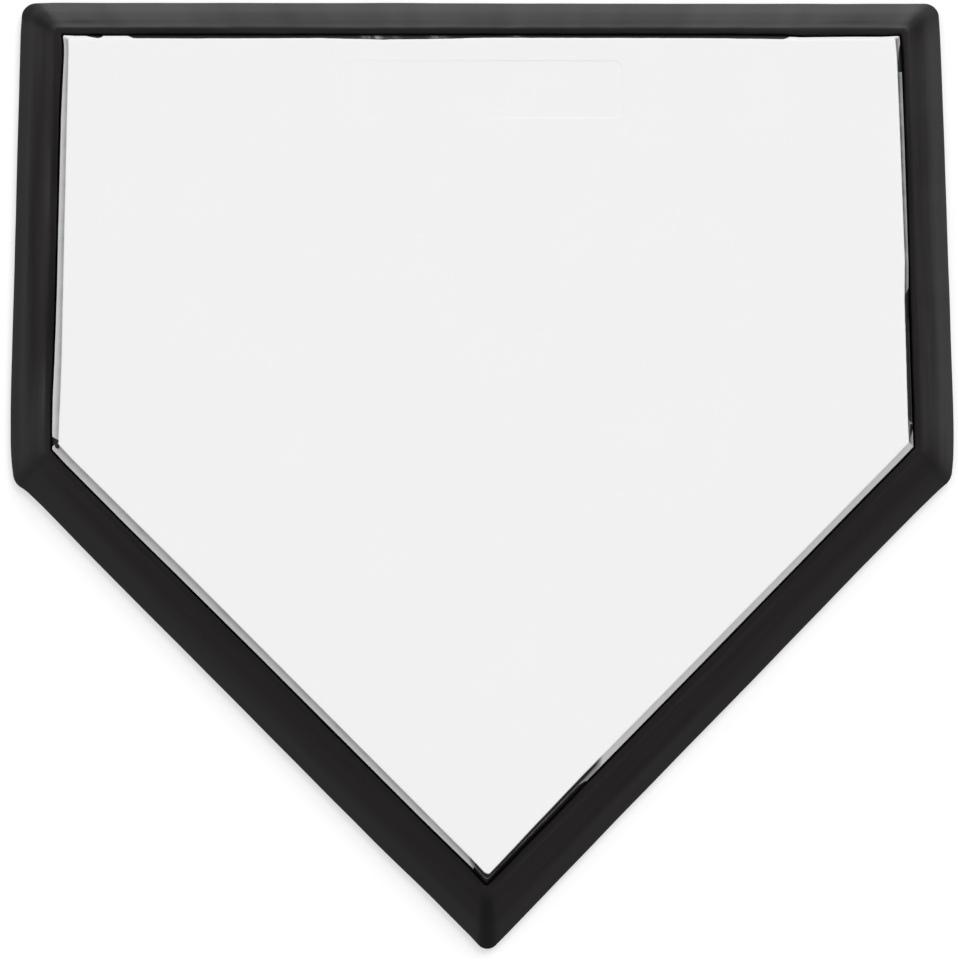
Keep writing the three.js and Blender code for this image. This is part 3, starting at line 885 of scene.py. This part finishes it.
print(f"the front tongue has {len(front_line)} sections, the tip's has {len(tip_line)}")

# %% All the tongues
# Along the front the dark tongue partly stands in for shade in the seam.
seam_tongue("seam_front", front_line, (-0.1, 0.95), 0.35, 5, ends=(2.0, 1.0), scuffs=front_scuffs)
seam_tongue("seam_front_end", front_end, (-0.1, 0.9), 0.3, 6)
seam_tongue("seam_right", right_line, (0.38, 0.97), 0.4, 7, ends=(1.0, 3.0))
seam_tongue("seam_right_top", right_top, (-0.1, 0.97), 0.38, 17, ends=(6.0, 0.8), lean=(0.0, -4.7))
seam_tongue("seam_right_tooth", right_tooth, (-0.1, 0.45), 0.3, 8, ends=(5.0, 1.0), rise=0.5)
seam_tongue("seam_right_end", right_end, (-0.1, 0.95), 0.3, 9, ends=(1.0, 12.0))
seam_tongue("seam_tip", tip_line, (0.56, 0.97), 0.4, 11, ends=(0.8, 7.0))
seam_tongue("seam_tip_low", tip_low, (-0.1, 0.44), 0.3, 13, ends=(0.8, 6.0))
seam_tongue("seam_left_end", left_end, (-0.1, 1.0), 0.4, 12, ends=(0.8, 0.8), lean=(4.1, 0.7))
seam_tongue("seam_left_corner", left_corner, (0.5, 1.0), 0.35, 15, ends=(0.5, 1.2))

# %% [markdown]
# ## The underside
#
# Turned over, the plate shows a rubber mat with a waffle of ribs, fourteen bolt heads and five
# threaded sockets for ground spikes. The mat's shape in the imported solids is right, only its
# edges are too sharp for moulded rubber. So a copy of its mesh is merged and a Bevel modifier
# rounds it. Bolts and sockets are turned pieces: a ring of radii for each height, where the
# radius may change with the angle. So one helper makes round, six-sided and threaded parts.

# %% Waffle mat
merge_distance, flat_angle, sharp_angle, edge_rounding = 0.001, 0.005, 40.0, 0.5
mat_mesh = cad_nodes["waffle_mat"].data.copy()
mat_mesh.name = "mat"
work = bmesh.new()
work.from_mesh(mat_mesh)
bmesh.ops.remove_doubles(work, verts=work.verts, dist=merge_distance * MM)
bmesh.ops.dissolve_limit(work, angle_limit=flat_angle, verts=work.verts, edges=work.edges)
work.to_mesh(mat_mesh)
work.free()
mat_mesh.materials.clear()
mat_mesh.materials.append(mat_rubber)
waffle_mat = add_object("mat", mat_mesh)
bevel = waffle_mat.modifiers.new("rounded", "BEVEL")
bevel.width, bevel.segments = edge_rounding * MM, 2
bevel.limit_method, bevel.angle_limit = "ANGLE", math.radians(sharp_angle)
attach(waffle_mat, "root")
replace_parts(waffle_mat, "waffle_mat")
print(f"mat: {len(mat_mesh.polygons)} faces before rounding")


# %% Rings for turned pieces
ring_angles = np.linspace(0, 2 * np.pi, 36, endpoint=False)


def hexagon(across_flats):
    """across_flats / 2 / cos(angle within one side), with a flat side towards +X."""
    within = (ring_angles + np.pi / 6) % (np.pi / 3) - np.pi / 6
    return across_flats / 2 / np.cos(within)


def thread(low, high, radius, depth, pitch, rings_per_turn=8):
    """radius - depth * |2 * phase - 1|, phase = z / pitch - angle / (2 pi) modulo 1; its ends fade."""
    heights = np.linspace(low, high, int(abs(high - low) / pitch * rings_per_turn) + 1)
    phase = heights[:, None] / pitch - ring_angles / (2 * np.pi)
    wave = np.abs(2 * (phase % 1.0) - 1)
    fade = ramp(np.minimum(np.abs(heights - low), np.abs(high - heights)), 0, pitch)
    return [(radius - depth * f * w, z) for w, f, z in zip(wave, fade, heights)]


def turned_grid(rings, node):
    """Stacks rings of (radius, height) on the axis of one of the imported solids."""
    axis = np.mean(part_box(node), axis=0)[:2] / MM
    circle = np.column_stack([np.cos(ring_angles), np.sin(ring_angles)])
    radii = np.stack([np.broadcast_to(r, ring_angles.shape) for r, _ in rings])
    return with_height(axis + radii[..., None] * circle, [[z] for _, z in rings])


def turned_piece(name, rings, node, material):
    """A turned piece in place of a solid."""
    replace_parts(make_piece(name, turned_grid(rings, node), False, material), node)


print(f"{len(ring_angles)} points in each ring")

# %% Bolts and sockets
head_bottom, head_seat, bolt_tip = 0.8, 3.4, 21.4
drive = hexagon(4.0)
bolt_rings = [
    (0.96 * drive, head_bottom + 1.6), (drive, head_bottom + 1.55), (drive, head_bottom + 0.2),
    (1.06 * drive, head_bottom), (3.6, head_bottom), (5.1, head_bottom), (5.55, head_bottom + 0.12),
    (5.88, head_bottom + 0.42), (6.0, head_bottom + 0.9), (6.0, head_seat - 0.15), (5.85, head_seat),
    (3.2, head_seat), (3.0, head_seat + 0.2),
    *thread(7.0, bolt_tip - 0.7, 3.0, 0.5, 1.0), (2.3, bolt_tip)]
bolt_names = [f"clamp_bolt_{number:02d}" for number in range(1, 15)]
for number, node in enumerate(bolt_names, start=1):
    turned_piece(f"bolt_{number:02d}", bolt_rings, node, zinc)

socket_bottom, flange_under, flange_over = 0.6, 12.7, 15.2
flange = hexagon(24.0)
socket_rings = [
    (4.0, flange_under), *thread(flange_under - 0.05, socket_bottom + 0.5, 4.55, 0.6, 1.5875),
    (4.9, socket_bottom + 0.05), (5.0, socket_bottom), (6.6, socket_bottom), (6.88, socket_bottom + 0.12),
    (7.0, socket_bottom + 0.4), (7.0, flange_under), (flange - 0.3, flange_under),
    (flange, flange_under + 0.3), (flange, flange_over - 0.3), (flange - 0.3, flange_over)]
for number in range(1, 6):
    turned_piece(f"socket_{number}", socket_rings, f"spike_socket_{number}", zinc)

# %% [markdown]
# The bolts pass through the border's flange, and the brass inserts sit inside the slab. Both
# mouldings were made without holes, so turned shapes are taken out of them by a Boolean, a
# little wider than what goes in.

# %% Holes in border and slab
def bore(piece, rings, nodes):
    """Takes the same turned shape out of a piece on the axis of every node."""
    shells = [closed_shell(turned_grid(rings, node)) for node in nodes]
    points = np.concatenate([shell[0] for shell in shells])
    faces = [face for number, shell in enumerate(shells) for block in shell[1:3]
             for face in (block + number * len(shell[0])).tolist()]
    cutter = add_mesh("cutter", points, faces)
    cut = piece.modifiers.new("bored", "BOOLEAN")
    cut.object, cut.operation, cut.solver = cutter, "DIFFERENCE", "EXACT"
    graph = bpy.context.evaluated_depsgraph_get()
    bored = bpy.data.meshes.new_from_object(
        piece.evaluated_get(graph), preserve_all_data_layers=True, depsgraph=graph)
    piece.modifiers.remove(cut)
    print(f"{piece.name}: {len(piece.data.vertices)} points, bored {len(bored.vertices)}")
    bored.name, piece.data = piece.data.name, bored
    bpy.data.objects.remove(cutter)


hole_radius, insert_radius, collar_radius = 3.3, 5.6, 6.8
insert_top, collar_under, spare = 24.0, 22.5, 0.3
hole = [(hole_radius, flange_bottom - 1.0), (hole_radius, flange_top + 1.0)]
cavity = [
    (insert_radius, slab_bottom - 1.0), (insert_radius, collar_under - spare),
    (collar_radius, collar_under - spare), (collar_radius, insert_top + spare)]
bore(bevel_border, hole, bolt_names)
bore(white_slab, cavity, bolt_names)

# %% [markdown]
# ## Floor and light
#
# The plate lies on a plain white floor. The floor is a real surface with a real shadow, lifted
# a little for the camera and for reflections, so that it reads as white. It is clear from below
# and open under the plate, so that the underside can be looked at in the light. The light is what
# a product studio has: pale walls all round, a dimmer ceiling, a low light panel beyond the front
# edge and a weaker one at the left, and one broad soft light from the front right.

# %% Floor
floor_reach, floor_drop, floor_lap = 30000.0, 0.2, 8.0
floor_grey, floor_lift = 0.62, 0.46
inner = outline_point(np.arange(len(knot_unit)), border_width - floor_lap)
floor_outline = np.concatenate([unit(inner) * floor_reach, inner])
floor_points = np.column_stack([floor_outline, np.full(len(floor_outline), -floor_drop)]) * MM
floor = add_mesh("floor", floor_points, grid_quads(2, len(inner), False).tolist())
print(f"floor of {floor_reach * MM:.0f} m round the plate, open under it")

# %% Paint of the floor
floor_paint = bpy.data.materials.new("floor_paint")
floor_paint.use_nodes = True
tree = floor_paint.node_tree
tree.nodes.clear()
rays = add_node(tree, "ShaderNodeLightPath").outputs
seen = rays["Is Camera Ray"]
for ray in ("Is Glossy Ray", "Is Transmission Ray"):
    inputs = {0: seen, 1: rays[ray]}
    seen = add_node(tree, "ShaderNodeMath", inputs, operation="ADD", use_clamp=True).outputs[0]
strength = add_node(tree, "ShaderNodeMath", {0: seen, 1: floor_lift}, operation="MULTIPLY")
lift = add_node(tree, "ShaderNodeEmission", {"Strength": strength.outputs[0]})
diffuse = add_node(tree, "ShaderNodeBsdfDiffuse", {"Color": (floor_grey, floor_grey, floor_grey, 1.0)})
both = add_node(tree, "ShaderNodeAddShader", {0: diffuse.outputs[0], 1: lift.outputs[0]})
below = add_node(tree, "ShaderNodeNewGeometry").outputs["Backfacing"]
clear = add_node(tree, "ShaderNodeBsdfTransparent")
one_sided = add_node(tree, "ShaderNodeMixShader", {0: below, 1: both.outputs[0], 2: clear.outputs[0]})
add_node(tree, "ShaderNodeOutputMaterial", {"Surface": one_sided.outputs[0]})
floor.data.materials.append(floor_paint)
print(f"{floor_paint.name}: grey {floor_grey}, lifted by {floor_lift}")

# %% Studio walls and panels
wall_levels = {0.0: 0.48, 0.25: 0.52, 0.5: 0.80, 0.8: 0.76, 0.94: 0.28, 1.0: 0.22}
panel_levels = {0.0: 0.0, 0.06: 0.0, 0.16: 1.0, 0.42: 1.0, 0.58: 0.0}
light_panels = (("Y", 1, 1.7), ("X", -1, 0.7))
panel_edge, panel_core = 0.72, 0.86
world = bpy.data.worlds.new("studio")
scene.world = world
world.use_nodes = True
tree = world.node_tree


def grey_ramp(factor, levels):
    """Greys mixed linearly between the levels given at places from 0 to 1."""
    colours = add_node(tree, "ShaderNodeValToRGB", {"Fac": factor})
    elements = colours.color_ramp.elements
    for place in list(levels)[1:-1]:
        elements.new(place)
    for element, (place, grey) in zip(elements, levels.items()):
        element.position, element.color = place, (grey, grey, grey, 1.0)
    return colours.outputs["Color"]


direction = add_node(tree, "ShaderNodeTexCoord").outputs["Generated"]
split = add_node(tree, "ShaderNodeSeparateXYZ", {"Vector": direction}).outputs
studio_light = grey_ramp(split["Z"], wall_levels)
panel_band = grey_ramp(split["Z"], panel_levels)
for axis, sign, brightness in light_panels:
    facing = remap(split[axis], panel_edge * sign, panel_core * sign, 0.0, brightness)
    panel = add_node(tree, "ShaderNodeVectorMath", {
        0: facing, 1: panel_band, 2: studio_light}, operation="MULTIPLY_ADD")
    studio_light = panel.outputs["Vector"]
set_inputs(tree.nodes["Background"], {"Color": studio_light})
print(f"{len(wall_levels)} wall levels, {len(light_panels)} light panels")

# %% Soft light
key_azimuth, key_elevation, key_strength, key_spread = 60.0, 42.0, 1.32, 40.0
key_data = bpy.data.lights.new("key_softbox", "SUN")
key_data.energy, key_data.angle = key_strength, math.radians(key_spread)
key_softbox = add_object("key_softbox", key_data)
key_softbox.rotation_euler = (0.0, math.radians(90 - key_elevation), math.radians(key_azimuth))
scene.view_settings.view_transform = "Standard"
print(f"soft light {key_elevation:.0f} degrees up, {90 - key_azimuth:.0f} to the right")
